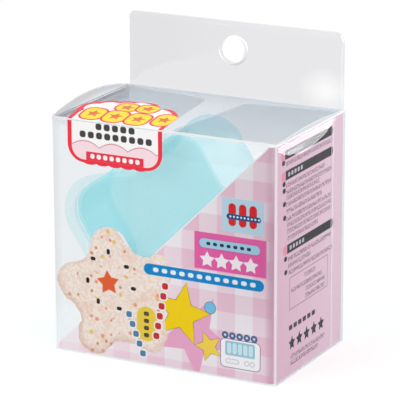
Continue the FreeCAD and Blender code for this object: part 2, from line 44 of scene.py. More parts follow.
class Steps:
    """Adds nodes to one tree. A number or colour is set on a socket, another socket is wired."""

    def __init__(self, tree):
        self.tree = tree

    def put(self, socket, value):
        if isinstance(value, bpy.types.NodeSocket):
            self.tree.links.new(value, socket)
        else:
            socket.default_value = value

    def node(self, kind, inputs=None, **settings):
        made = self.tree.nodes.new(kind if kind.startswith("Geometry") else "ShaderNode" + kind)
        for name, value in settings.items():
            setattr(made, name, value)
        for name, value in (inputs or {}).items():
            self.put(made.inputs[name], value)
        return made

    def math(self, operation, *terms):
        made = self.node("Math", operation=operation)
        for socket, term in zip(made.inputs, terms):
            self.put(socket, term)
        return made.outputs[0]

    def times(self, first, second):
        return self.math("MULTIPLY", first, second)

    def plus(self, first, second):
        return self.math("ADD", first, second)

    def minus(self, first, second):
        return self.math("SUBTRACT", first, second)

    def most(self, first, second):
        return self.math("MAXIMUM", first, second)

    def least(self, first, second):
        return self.math("MINIMUM", first, second)

    def ramp(self, value, start, end, low=0.0, high=1.0):
        """Runs from low to high as the value goes from start to end, and stays there past them."""
        limits = {"Value": value, "From Min": start, "From Max": end}
        return self.node("MapRange", limits | {"To Min": low, "To Max": high}).outputs["Result"]

    def length(self, *sides):
        total = 0.0
        for side in sides:
            total = self.math("MULTIPLY_ADD", side, side, total)
        return self.math("SQRT", total)

    def parts(self, vector):
        return self.node("SeparateXYZ", {"Vector": vector}).outputs

    def scaled(self, vector, factor):
        made = self.node("VectorMath", operation="SCALE")
        self.put(made.inputs[0], vector)
        self.put(made.inputs["Scale"], factor)
        return made.outputs[0]

    def blend(self, share, low, high):
        """A colour between low and high."""
        made = self.node("Mix", data_type="RGBA")
        for place, value in ((0, share), (6, low), (7, high)):
            self.put(made.inputs[place], value)
        return made.outputs[2]

    def laid_over(self, share, under, over):
        """One shader over another."""
        made = self.node("MixShader", {"Fac": share})
        self.put(made.inputs[1], under.outputs[0])
        self.put(made.inputs[2], over.outputs[0])
        return made

    def use(self, tree, inputs):
        made = self.tree.nodes.new("ShaderNodeGroup")
        made.node_tree = tree
        for name, value in inputs.items():
            self.put(made.inputs[name], value)
        return made.outputs


def new_finish(name):
    """A material, the steps to build it with, and its main shader."""
    finish = bpy.data.materials.new(name)
    finish.use_nodes = True
    return finish, Steps(finish.node_tree), finish.node_tree.nodes["Principled BSDF"]


def whitened(steps):
    """1 for the rays that show a white backdrop, and 0 for those that only carry light."""
    path = steps.node("LightPath").outputs
    mirrored = steps.most(path["Is Glossy Ray"], path["Is Transmission Ray"])
    return steps.most(path["Is Camera Ray"], mirrored)


WHITE = (1.0, 1.0, 1.0, 1.0)
EYE = Vector((0.5343, -1.0214, 0.4017))
EYE_AIM = Vector((0.00015, 0.0, 0.0679))
EYE_TILT = math.radians(-0.174)
ROOM_LIGHT = 0.86
TABLE_GREY, TABLE_GLOW = 0.5, 0.53
TABLE_REACH = 6
FILM_LAYERS = 64

scene = bpy.context.scene
scene.view_settings.view_transform = "Standard"
scene.cycles.transparent_max_bounces = FILM_LAYERS

camera = bpy.data.objects.new("viewpoint", bpy.data.cameras.new("viewpoint"))
camera.data.sensor_width = 36.0
camera.data.lens = 243.37
camera.data.clip_end = 20.0
camera.location = EYE
towards = (EYE_AIM - EYE).to_track_quat("-Z", "Y").to_matrix().to_4x4()
camera.rotation_euler = (towards @ Matrix.Rotation(EYE_TILT, 4, "Z")).to_euler()
scene.collection.objects.link(camera)
scene.camera = camera

room = bpy.data.worlds.new("bright room")
room.use_nodes = True
steps = Steps(room.node_tree)
background = room.node_tree.nodes["Background"]
steps.put(background.inputs["Color"], WHITE)
room_level = steps.ramp(whitened(steps), 0.0, 1.0, ROOM_LIGHT, 1.0)
steps.put(background.inputs["Strength"], room_level)
scene.world = room

table_mesh = bpy.data.meshes.new("table")
round_table = ((-1, -1), (1, -1), (1, 1), (-1, 1))
table_corners = [(TABLE_REACH * x, TABLE_REACH * y, 0) for x, y in round_table]
table_mesh.from_pydata(table_corners, [], [(0, 1, 2, 3)])
table = bpy.data.objects.new("table", table_mesh)
scene.collection.objects.link(table)
white_table, steps, top = new_finish("white table")
steps.put(top.inputs["Base Color"], (TABLE_GREY, TABLE_GREY, TABLE_GREY, 1.0))
steps.put(top.inputs["Roughness"], 0.9)
steps.put(top.inputs["Specular IOR Level"], 0.0)
steps.put(top.inputs["Emission Color"], WHITE)
table_level = steps.ramp(whitened(steps), 0.0, 1.0, 0.0, TABLE_GLOW)
steps.put(top.inputs["Emission Strength"], table_level)
table_mesh.materials.append(white_table)

for name, place, aim, wide, high, power, lights_matt in (
    ("front left panel", (-1.2, -2.0, 1.2), (0, 0, 0.06), 1.2, 1.2, 18, True),
    ("right panel", (2.1, -0.3, 0.8), (0, 0, 0.06), 1.0, 1.0, 13, True),
    ("rear panel", (0.62, 0.95, 0.36), (0.05, 0, 0.1), 0.9, 0.66, 44, False),
):
    lamp = bpy.data.lights.new(name, "AREA")
    lamp.shape = "RECTANGLE"
    lamp.size = wide
    lamp.size_y = high
    lamp.energy = power
    panel = bpy.data.objects.new(name, lamp)
    panel.location = place
    panel.rotation_euler = (Vector(aim) - Vector(place)).to_track_quat("-Z", "Y").to_euler()
    panel.visible_camera = False
    panel.visible_diffuse = lights_matt
    scene.collection.objects.link(panel)


# Clear sleeve: the carton's four walls, creased from one sheet of stiff clear PVC 0.4 mm thick
# and glued down one edge. The film is glossy and faintly grey, and white at its creases, partly
# from stress and partly as a painted highlight.

def open_group(name, inputs, outputs, tree_kind="ShaderNodeTree"):
    """A node group with its sockets, and the steps, inputs and end node to fill it with."""
    tree = bpy.data.node_groups.new(name, tree_kind)
    for label, kind in inputs.items():
        tree.interface.new_socket(label, in_out="INPUT", socket_type="NodeSocket" + kind)
    for label, kind in outputs.items():
        tree.interface.new_socket(label, in_out="OUTPUT", socket_type="NodeSocket" + kind)
    start = tree.nodes.new("NodeGroupInput").outputs
    end = tree.nodes.new("NodeGroupOutput").inputs
    return tree, Steps(tree), start, end


millimetres, steps, start, end = open_group(
    "Millimetres", {}, {"Across": "Float", "Back": "Float", "Up": "Float", "Place": "Vector"}
)
place = steps.scaled(steps.node("TexCoord").outputs["Object"], 1000.0)
for label, value in zip(("Across", "Back", "Up"), steps.parts(place)):
    steps.put(end[label], value)
steps.put(end["Place"], place)

# The veil is how far the film shows white: in faint clouds, rubs and specks of wear; at its
# creases, partly stress white and partly painted highlight; and on its cut edges, which face
# along the sheet instead of across it, as a painted highlight.
CUT_PAINTED_HIGHLIGHT = 0.7
CREASE_WHITE = 0.5
film_wear_and_highlights, steps, start, end = open_group(
    "Film wear and painted highlights",
    {"Place": "Vector", "Sheet": "Vector", "Crease": "Float"},
    {"Veil": "Float", "Roughness": "Float", "Ripple": "Float"},
)
cloud = steps.node("TexNoise", {"Vector": start["Place"], "Scale": 0.03, "Detail": 2.0}).outputs[0]
upright = steps.node("Mapping", {"Vector": start["Place"], "Scale": (0.9, 0.9, 0.03)}).outputs[0]
rub = steps.node("TexNoise", {"Vector": upright, "Scale": 1.1, "Detail": 2.0}).outputs[0]
speck = steps.node("TexVoronoi", {"Vector": start["Place"], "Scale": 0.16}).outputs["Distance"]
veil = steps.ramp(cloud, 0.3, 0.7, 0.001, 0.006)
veil = steps.math("MULTIPLY_ADD", steps.ramp(rub, 0.66, 0.80), 0.015, veil)
veil = steps.math("MULTIPLY_ADD", steps.ramp(speck, 0.05, 0.02), 0.08, veil)
veil = steps.math("MULTIPLY_ADD", start["Crease"], CREASE_WHITE, veil)
turned = steps.node("VectorMath", operation="DOT_PRODUCT")
steps.put(turned.inputs[0], steps.node("TexCoord").outputs["Normal"])
steps.put(turned.inputs[1], start["Sheet"])
is_sheet = steps.node("VectorMath", operation="LENGTH")
steps.put(is_sheet.inputs[0], start["Sheet"])
across_sheet = steps.math("ABSOLUTE", turned.outputs["Value"])
# The cut edges get a painted white highlight.
cut = steps.ramp(across_sheet, 0.5, 0.2, 0.0, CUT_PAINTED_HIGHLIGHT)
steps.put(end["Veil"], steps.math("MULTIPLY_ADD", cut, is_sheet.outputs["Value"], veil))
steps.put(end["Roughness"], steps.ramp(cloud, 0.3, 0.7, 0.02, 0.05))
ripple = steps.node("TexNoise", {"Vector": start["Place"], "Scale": 0.02, "Detail": 0.0})
steps.put(end["Ripple"], ripple.outputs[0])


def cover(node, finish):
    for holder in nodes[node].material_slots:
        holder.material = finish


RIPPLE_HEIGHT = 0.5
GLOSS_LEAST, GLOSS_SLANT, GLOSS_RISE = 0.003, 0.6, 6.5


def clear_film(node, flat, slant, sheet, crease=None, tone=None, swell=None):
    """The carton's film on one node. flat and slant are what one face lets through when seen
    square on and edge on. sheet is the axis across it, so that its cut edges show a painted
    white highlight. crease gives 0 to 1 where a fold shows white, tone changes what it lets
    through, and swell is its bulge in mm."""
    film, steps, haze = new_finish(node + " film")
    steps.put(haze.inputs["Base Color"], (0.88, 0.89, 0.91, 1.0))
    steps.put(haze.inputs["Roughness"], 0.45)
    place = steps.use(millimetres, {})
    folded = crease(steps, place) if crease else 0.0
    # The veil is wear, with painted highlights at the creases and cut edges.
    wear_and_painted_light = steps.use(film_wear_and_highlights, {"Place": place["Place"], "Sheet": sheet, "Crease": folded})
    height = steps.times(wear_and_painted_light["Ripple"], RIPPLE_HEIGHT)
    if swell:
        height = steps.plus(height, swell(steps, place))
    bump = steps.node("Bump", {"Height": height, "Strength": 1.0, "Distance": 0.001})
    facing = steps.node("LayerWeight", {"Blend": 0.5}).outputs["Facing"]
    facing = steps.times(facing, steps.minus(1.0, folded))
    through = steps.blend(steps.math("POWER", facing, 2.0), flat, slant)
    if tone:
        through = tone(steps, place, through)
    clear = steps.node("BsdfTransparent", {"Color": through})
    surface = steps.laid_over(wear_and_painted_light["Veil"], clear, haze)
    gloss = {"Roughness": wear_and_painted_light["Roughness"], "Normal": bump.outputs[0]}
    shine = steps.math("POWER", facing, GLOSS_RISE)
    shine = steps.math("MULTIPLY_ADD", shine, GLOSS_SLANT, GLOSS_LEAST)
    surface = steps.laid_over(shine, surface, steps.node("BsdfGlossy", gloss))
    # Rays that only carry light pass as if no film were there.
    path = steps.node("LightPath").outputs
    for ray in ("Is Shadow Ray", "Is Diffuse Ray"):
        surface = steps.laid_over(path[ray], surface, steps.node("BsdfTransparent"))
    steps.put(film.node_tree.nodes["Material Output"].inputs["Surface"], surface.outputs[0])
    cover(node, film)


COOL = (0.968, 0.972, 0.976, 1.0)
COOL_SLANT = (0.75, 0.77, 0.79, 1.0)
NO_CUT, STANDING, LYING = (0, 0, 0), (0, 1, 0), (0, 0, 1)
LEFT_WALL, RIGHT_WALL, RIGHT_OUTSIDE = -54.3, 54.0, 54.85
GLUED_EDGE = 21.4


def sleeve_creases(steps, place):
    """The four upright creases, the glued edge and the top rim."""
    side = steps.ramp(steps.math("ABSOLUTE", place["Across"]), 53.8, 54.5)
    end = steps.ramp(steps.math("ABSOLUTE", place["Back"]), 33.8, 34.5)
    rim = steps.ramp(place["Up"], 106.6, 107.1)
    # The front right crease shows whitest, a painted highlight; the others keep a little stress
    # white.
    wear_and_painted_light = steps.ramp(steps.minus(place["Across"], place["Back"]), 60.0, 80.0, 0.15, 1.0)
    corner = steps.times(steps.least(side, end), wear_and_painted_light)
    rim = steps.times(rim, steps.math("GREATER_THAN", place["Across"], LEFT_WALL))
    corner = steps.most(corner, rim)
    from_glue = steps.math("ABSOLUTE", steps.minus(place["Back"], GLUED_EDGE))
    on_right = steps.math("GREATER_THAN", place["Across"], RIGHT_WALL)
    return steps.most(corner, steps.times(steps.ramp(from_glue, 0.6, 0.2), on_right))


def side_dent(steps, place):
    """Above a curved line, the top of the right wall leans in where the carton was squeezed."""
    from_middle = steps.plus(place["Back"], 7.0)
    dip = steps.math("MULTIPLY_ADD", steps.math("POWER", from_middle, 2.0), 0.0075, 99.0)
    rise = steps.most(steps.minus(place["Up"], dip), 0.0)
    on_outside = steps.math("GREATER_THAN", place["Across"], RIGHT_OUTSIDE)
    return steps.times(steps.times(rise, -0.34), on_outside)


def sleeve_painted_shade(steps, place, through):
    """Painted shade on the left wall: greyer towards its top and front, darker towards its top
    rear corner, and a dark streak under its edge.
    """
    near_front = steps.ramp(place["Back"], -27.0, -32.0)
    body = steps.blend(near_front, (0.935, 0.942, 0.948, 1.0), (0.895, 0.905, 0.912, 1.0))
    wall = steps.blend(steps.ramp(place["Up"], 8.0, 34.0), COOL, body)
    corner = steps.math("MULTIPLY_ADD", place["Back"], 0.33, place["Up"])
    wall = steps.blend(steps.ramp(corner, 92.0, 99.0), wall, (0.82, 0.835, 0.865, 1.0))
    edge = steps.math("MULTIPLY_ADD", place["Back"], 0.08, place["Up"])
    wall = steps.blend(steps.ramp(edge, 103.4, 104.6), wall, (0.735, 0.738, 0.765, 1.0))
    streak = steps.ramp(place["Up"], 104.8, 105.4)
    streak = steps.times(streak, steps.ramp(place["Back"], -32.0, 8.0))
    wall = steps.blend(streak, wall, (0.53, 0.515, 0.545, 1.0))
    return steps.blend(steps.math("LESS_THAN", place["Across"], LEFT_WALL), through, wall)


clear_film("clear_sleeve", COOL, COOL_SLANT, NO_CUT, sleeve_creases, sleeve_painted_shade, side_dent)


# Hang header: the same film doubled into a tab with rounded corners, which stands up behind the
# lid and is punched for a display hook. It is a little duller, where its two sheets lie together.

BETWEEN_SHEETS = 34.3
REAR_GREY, REAR_PAINTED_SHADE = (0.897, 0.895, 0.905, 1.0), (0.874, 0.873, 0.882, 1.0)
NEAR_CLEAR = (0.99, 0.99, 0.99, 1.0)


def header_fold(steps, place):
    """How far a point is above a soft fold, which runs up from the left end and flattens out."""
    run = steps.most(steps.plus(place["Across"], 54.0), 0.0)
    line = steps.math("MULTIPLY_ADD", steps.math("SQRT", run), 3.1, 105.5)
    return steps.minus(place["Up"], line)


def header_tone(steps, place, through):
    """The rear sheet is the greyer. Above the fold it is darker, a painted shade, and at the right
    foot it is near clear, a painted highlight. The front sheet is clear, but for a crescent beside
    the hole."""
    shaded_above_fold = steps.ramp(header_fold(steps, place), -0.4, 1.2)
    shaded_above_fold = steps.times(shaded_above_fold, steps.ramp(place["Across"], 10.0, -34.0))
    rear = steps.blend(shaded_above_fold, REAR_GREY, REAR_PAINTED_SHADE)
    # A painted highlight at the right foot.
    foot_across = steps.minus(place["Across"], 45.0)
    foot_up = steps.times(steps.minus(place["Up"], 115.0), 1.3)
    foot = steps.ramp(steps.length(foot_across, foot_up), 14.0, 2.0, 0.0, 0.85)
    rear = steps.blend(foot, rear, NEAR_CLEAR)
    from_hole = steps.length(steps.minus(place["Across"], 1.3), steps.minus(place["Up"], 129.0))
    front = steps.blend(steps.ramp(from_hole, 6.5, 6.1), NEAR_CLEAR, rear)
    is_front = steps.math("LESS_THAN", place["Back"], BETWEEN_SHEETS)
    return steps.blend(is_front, rear, front)


def header_creases(steps, place):
    """A faint white line along that fold: a painted highlight."""
    on_line = steps.ramp(steps.math("ABSOLUTE", header_fold(steps, place)), 0.8, 0.2)
    return steps.times(on_line, steps.ramp(place["Across"], -14.0, -40.0, 0.0, 0.12))


clear_film("hang_header", COOL, COOL_SLANT, STANDING, header_creases, header_tone)


# Lid: a flap of the same film, creased along the back wall and sprung up at its left end, with
# a tuck flap that slides down inside the front wall.

def lid_tone(steps, place, through):
    """Darker at the sprung left end, a painted shade, and clearer at the front right corner."""
    sprung = steps.ramp(place["Across"], -46.0, -51.0)
    to_right = steps.ramp(place["Across"], 10.0, 54.0)
    corner = steps.times(to_right, steps.ramp(place["Back"], 5.0, -34.0))
    through = steps.blend(steps.times(corner, 0.6), through, (0.97, 0.97, 0.975, 1.0))
    return steps.blend(sprung, through, (0.78, 0.775, 0.79, 1.0))


def lid_creases(steps, place):
    """The crease to the tuck flap and the hinge."""
    front = steps.ramp(place["Back"], -34.0, -34.5)
    return steps.most(front, steps.ramp(place["Back"], 32.2, 32.7))


def tuck_crease(steps, place):
    """The crease to the lid."""
    return steps.ramp(place["Up"], 106.6, 107.2)


# Seen edge on, the lid's film turns a bluer grey: a painted reflection.
clear_film("top_lid", COOL, (0.81, 0.85, 0.89, 1.0), LYING, lid_creases, lid_tone)
clear_film("tuck_flap", (0.985, 0.987, 0.99, 1.0), (0.88, 0.89, 0.9, 1.0), NO_CUT, tuck_crease)


# Dust flaps and the glued bottom: more flaps of the film. The two dust flaps fold in under the
# lid and leave a gap between them, and the four bottom flaps lie shut over one another.

def end_crease(steps, place):
    """White along a flap's hinge."""
    return steps.ramp(steps.math("ABSOLUTE", place["Across"]), 53.4, 54.2)


for node in ("dust_flap_left", "dust_flap_right"):
    clear_film(node, (0.98, 0.983, 0.987, 1.0), (0.83, 0.85, 0.87, 1.0), LYING, end_crease)
for node in ("bottom_panel", "bottom_flap_left", "bottom_flap_right", "bottom_tuck"):
    clear_film(node, COOL, (0.95, 0.95, 0.955, 1.0), NO_CUT)


# Rice cup and press lid: a star mould in soft, milky blue polypropylene. The cup is moulded with
# drawn walls, a round edge to its floor and a beaded rim; the press lid is a plate with a rib.

STAR_SIZES = {
    "Middle across": -0.80, "Middle up": 50.15, "First arm": math.radians(87.0),
    "Tip out": 38.1, "Tip radius": 17.5, "Valley out": 54.8, "Valley radius": 12.5,
}
ARMS = 5
TIP_STEPS, VALLEY_STEPS = 18, 8
ARM_POINTS = TIP_STEPS + VALLEY_STEPS + 2
HALF_ARM = math.pi / ARMS
SAME_SPOT = 1e-6

# Where a tip's arc runs into the valley's: the two middles and the two radii fix its angle.
between = Vector((
    STAR_SIZES["Valley out"] * math.cos(HALF_ARM) - STAR_SIZES["Tip out"],
    STAR_SIZES["Valley out"] * math.sin(HALF_ARM),
))
meeting = (STAR_SIZES["Tip radius"] + STAR_SIZES["Valley radius"]) / between.length
STAR_SIZES["Tip half turn"] = math.atan2(between.y, between.x) - math.acos(meeting)

star_sweep, steps, start, end = open_group(
    "Star sweep",
    {"Section": "Geometry"} | dict.fromkeys(STAR_SIZES, "Float") | {"Plastic": "Material"},
    {"Star": "Geometry"},
    "GeometryNodeTree",
)
position = steps.node("GeometryNodeInputPosition").outputs[0]

# The section's points run along one side of a grid, and the points round the star the other way.
size = steps.node("GeometryNodeAttributeDomainSize", {"Geometry": start["Section"]})
rows = size.outputs["Point Count"]
far_row = steps.minus(rows, 1.0)
all_round = float(ARMS * ARM_POINTS)
grid = steps.node("GeometryNodeMeshGrid", {
    "Size X": all_round, "Size Y": far_row,
    "Vertices X": ARMS * ARM_POINTS + 1, "Vertices Y": rows,
})
spot = steps.parts(position)
round_star = steps.math("ROUND", steps.plus(spot[0], all_round / 2))
round_star = steps.math("MODULO", round_star, all_round)
row = steps.math("ROUND", steps.math("MULTIPLY_ADD", far_row, 0.5, spot[1]))
picked = steps.node(
    "GeometryNodeSampleIndex",
    {"Geometry": start["Section"], "Value": position, "Index": row},
    data_type="FLOAT_VECTOR",
)
inset, depth = steps.parts(picked.outputs[0])[:2]

# An arm is a round tip and half of the valley on each side, as two arcs that run into each other.
arm = steps.math("FLOOR", steps.math("DIVIDE", round_star, float(ARM_POINTS)))
along_arm = steps.math("MULTIPLY_ADD", arm, -float(ARM_POINTS), round_star)
in_valley = steps.math("GREATER_THAN", along_arm, TIP_STEPS + 0.5)


def either(at_valley, at_tip):
    sides = {"Switch": in_valley, "False": at_tip, "True": at_valley}
    return steps.node("GeometryNodeSwitch", sides, input_type="FLOAT").outputs[0]


half_turn = start["Tip half turn"]
tip_way = steps.ramp(along_arm, 0.0, TIP_STEPS, steps.times(half_turn, -1.0), half_turn)
far_turn = steps.minus(2 * HALF_ARM, half_turn)
valley_way = steps.ramp(along_arm, TIP_STEPS + 1.0, ARM_POINTS - 1.0, half_turn, far_turn)
axis = steps.math("MULTIPLY_ADD", arm, 2 * HALF_ARM, start["First arm"])
to_centre = steps.plus(axis, either(HALF_ARM, 0.0))
centre_out = either(start["Valley out"], start["Tip out"])
bend = either(steps.times(start["Valley radius"], -1.0), start["Tip radius"])
bend = steps.minus(bend, inset)
way = steps.plus(axis, either(valley_way, tip_way))
moved = []
for turn, middle in (("COSINE", start["Middle across"]), ("SINE", start["Middle up"])):
    centre = steps.math("MULTIPLY_ADD", centre_out, steps.math(turn, to_centre), middle)
    moved.append(steps.math("MULTIPLY_ADD", bend, steps.math(turn, way), centre))
point = steps.node("CombineXYZ", {"X": moved[0], "Y": depth, "Z": moved[1]}).outputs[0]
shell = steps.node(
    "GeometryNodeSetPosition",
    {"Geometry": grid.outputs["Mesh"], "Position": steps.scaled(point, 0.001)},
)
shell = steps.node(
    "GeometryNodeMergeByDistance", {"Geometry": shell.outputs[0], "Distance": SAME_SPOT}
)

# Both ends of the section are closed across the star, to a point in its middle.
beside = steps.node("GeometryNodeInputMeshEdgeNeighbors").outputs["Face Count"]
open_edge = steps.math("COMPARE", beside, 1.0, 0.5)
spread = steps.node(
    "GeometryNodeExtrudeMesh",
    {"Mesh": shell.outputs[0], "Selection": open_edge, "Offset Scale": 0.0},
    mode="EDGES",
)
middle = steps.node("CombineXYZ", {
    "X": steps.times(start["Middle across"], 0.001), "Y": steps.parts(position)[1],
    "Z": steps.times(start["Middle up"], 0.001),
})
closed = steps.node("GeometryNodeSetPosition", {
    "Geometry": spread.outputs["Mesh"],
    "Selection": spread.outputs["Top"],
    "Position": middle.outputs[0],
})
for kind, settings in (
    ("GeometryNodeMergeByDistance", {"Distance": SAME_SPOT}),
    ("GeometryNodeRealizeInstances", {}),
    ("GeometryNodeSetMaterial", {"Material": start["Plastic"]}),
):
    closed = steps.node(kind, {"Geometry": closed.outputs[0]} | settings)
steps.put(end["Star"], closed.outputs[0])

# The glow colours feed the plastic's emission, a painted glow; at about half they are its base
# colour.
WALL_GLOW, FLOOR_GLOW = (0.20, 0.83, 0.92, 1.0), (0.36, 0.80, 0.86, 1.0)
SLANT_COVER = 0.12
PAINTED_GLOW_STRENGTH = 0.49


def milky_plastic(name, hides, floor_hides):
    """Blue polypropylene that lets some light through. The cup's floor is its thickest part. Its
    emission is a painted glow that stands in for the light scattered inside the plastic.
    """
    plastic, steps, shader = new_finish(name)
    place = steps.use(millimetres, {})
    grain = steps.node("TexNoise", {"Vector": place["Place"], "Scale": 0.05, "Detail": 2.0})
    grain = grain.outputs[0]
    deep = steps.ramp(place["Back"], -18.5, -21.0, hides, floor_hides)
    slant = steps.math("POWER", steps.node("LayerWeight", {"Blend": 0.5}).outputs["Facing"], 4.0)
    deep = steps.math("MULTIPLY_ADD", slant, SLANT_COVER, deep)
    mottled = steps.times(deep, steps.ramp(grain, 0.3, 0.7, 0.96, 1.04))
    glow = steps.blend(steps.ramp(place["Back"], -18.5, -21.0), WALL_GLOW, FLOOR_GLOW)
    half_glow = steps.scaled(glow, steps.ramp(grain, 0.3, 0.7, 0.49, 0.53))
    fine = steps.node("TexNoise", {"Vector": place["Place"], "Scale": 1.6, "Detail": 2.0})
    bump = steps.node("Bump", {"Height": fine.outputs[0], "Strength": 0.15, "Distance": 0.0002})
    for socket, value in (
        ("Base Color", half_glow),
        ("Alpha", mottled),
        ("Roughness", steps.ramp(grain, 0.3, 0.7, 0.2, 0.3)),
        ("IOR", 1.2),
        ("Specular IOR Level", 0.15),
        ("Emission Color", glow),
        ("Emission Strength", PAINTED_GLOW_STRENGTH),
        ("Normal", bump.outputs[0]),
    ):
        steps.put(shader.inputs[socket], value)
    return plastic


RIM_BACK, CUP_DEPTH, CUP_WALL, CUP_DRAFT, RIM_IN = 11.0, 36.1, 1.3, 2.4, 1.7
FLOOR_BEND = 5.0
BEND_BACK = RIM_BACK - CUP_DEPTH + FLOOR_BEND


def wall_inset(back):
    """How far the drawn wall has come in from the star's outline at one depth."""
    return RIM_IN + CUP_DRAFT * (RIM_BACK - back) / CUP_DEPTH


def floor_bend(radius, angles):
    """The round edge between the wall and the floor, about one middle for both its faces."""
    middle = wall_inset(BEND_BACK) + FLOOR_BEND
    return [
        (middle - radius * math.cos(angle), BEND_BACK - radius * math.sin(angle))
        for angle in angles
    ]


quarter = [math.radians(angle) for angle in range(0, 91, 10)]
section = floor_bend(FLOOR_BEND, reversed(quarter))
section += [(wall_inset(back), back) for back in (-14.0, -7.0, 0.0, 5.0, 8.3)]
section += [
    (1.6, 8.7), (1.2, 8.8), (0.98, 8.95), (0.9, 9.2), (0.9, 10.3), (1.0, 10.7),
    (1.3, 10.95), (1.7, 11.0), (2.5, 11.0), (2.85, 10.9), (3.05, 10.6),
]
section += [(wall_inset(back) + CUP_WALL, back) for back in (9.8, 5.0, 0.0, -7.0, -14.0)]
section += floor_bend(FLOOR_BEND - CUP_WALL, quarter)

cup_section = bpy.data.meshes.new("cup section")
cup_section.from_pydata(
    [(inset, back, 0.0) for inset, back in section],
    [(i, i + 1) for i in range(len(section) - 1)],
    [],
)
star_cup = bpy.data.objects.new("star_cup", cup_section)
scene.collection.objects.link(star_cup)
sweeper = star_cup.modifiers.new("star sweep", "NODES")
sweeper.node_group = star_sweep
cup_inputs = STAR_SIZES | {"Plastic": milky_plastic("cup plastic", 0.23, 0.42)}
for socket in star_sweep.interface.items_tree:
    if socket.name in cup_inputs:
        sweeper[socket.identifier] = cup_inputs[socket.name]
swept = star_cup.evaluated_get(bpy.context.evaluated_depsgraph_get())
cup_mesh = bpy.data.meshes.new_from_object(swept)
star_cup.modifiers.clear()
star_cup.data = cup_mesh
work = bmesh.new()
work.from_mesh(cup_mesh)
bmesh.ops.recalc_face_normals(work, faces=work.faces)
work.to_mesh(cup_mesh)
work.free()
cup_mesh.shade_smooth()
cup_mesh.set_sharp_from_angle(angle=math.radians(40))
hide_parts("rice_cup")
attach(star_cup, "carton")
cover("press_lid", milky_plastic("press lid plastic", 0.17, 0.17))


# Printed insert: one bent card inside the film, cut on a slope and round the picture of a rice
# star. The front is a pink gingham print with coloured panels; the side is plain pink with rules.

def chart(red, green, blue):
    """A colour chart reading from 0 to 255, as the linear colour that a node takes."""
    return (*(((level / 255 + 0.055) / 1.055) ** 2.4 for level in (red, green, blue)), 1.0)


rounded_patch, steps, start, end = open_group(
    "Rounded patch",
    dict.fromkeys(("Across", "Up", "Left", "Right", "Low", "High", "Corner"), "Float"),
    {"Outside": "Float"},
)


def beyond(along, near, far):
    middle = steps.times(steps.plus(near, far), 0.5)
    half = steps.times(steps.minus(far, near), 0.5)
    from_middle = steps.math("ABSOLUTE", steps.minus(along, middle))
    return steps.plus(steps.minus(from_middle, half), start["Corner"])


sideways = beyond(start["Across"], start["Left"], start["Right"])
upwards = beyond(start["Up"], start["Low"], start["High"])
past_corner = steps.length(steps.most(sideways, 0.0), steps.most(upwards, 0.0))
within = steps.least(steps.most(sideways, upwards), 0.0)
steps.put(end["Outside"], steps.minus(steps.plus(past_corner, within), start["Corner"]))

star_patch, steps, start, end = open_group(
    "Star patch",
    dict.fromkeys(("Across", "Up", "Middle", "Height", "Reach", "Valley", "Turn"), "Float"),
    {"Outside": "Float"},
)
sideways = steps.minus(start["Across"], start["Middle"])
upwards = steps.minus(start["Up"], start["Height"])
round_about = steps.minus(steps.math("ARCTAN2", upwards, sideways), start["Turn"])
from_tip = steps.math("PINGPONG", round_about, HALF_ARM)
top_part = steps.times(steps.times(start["Reach"], start["Valley"]), math.sin(HALF_ARM))
by_valley = steps.times(start["Valley"], steps.math("SINE", steps.minus(HALF_ARM, from_tip)))
by_reach = steps.times(start["Reach"], steps.math("SINE", from_tip))
edge = steps.math("DIVIDE", top_part, steps.plus(by_valley, by_reach))
steps.put(end["Outside"], steps.minus(steps.length(sideways, upwards), edge))

paper_fibre, steps, start, end = open_group(
    "Paper fibre",
    {"Place": "Vector", "Fineness": "Float", "Smoothest": "Float", "Roughest": "Float"},
    {"Roughness": "Float", "Height": "Float"},
)
fibre = {"Vector": start["Place"], "Scale": start["Fineness"], "Detail": 3.0}
fibre = steps.node("TexNoise", fibre).outputs[0]
steps.put(end["Roughness"], steps.ramp(fibre, 0.3, 0.7, start["Smoothest"], start["Roughest"]))
steps.put(end["Height"], fibre)


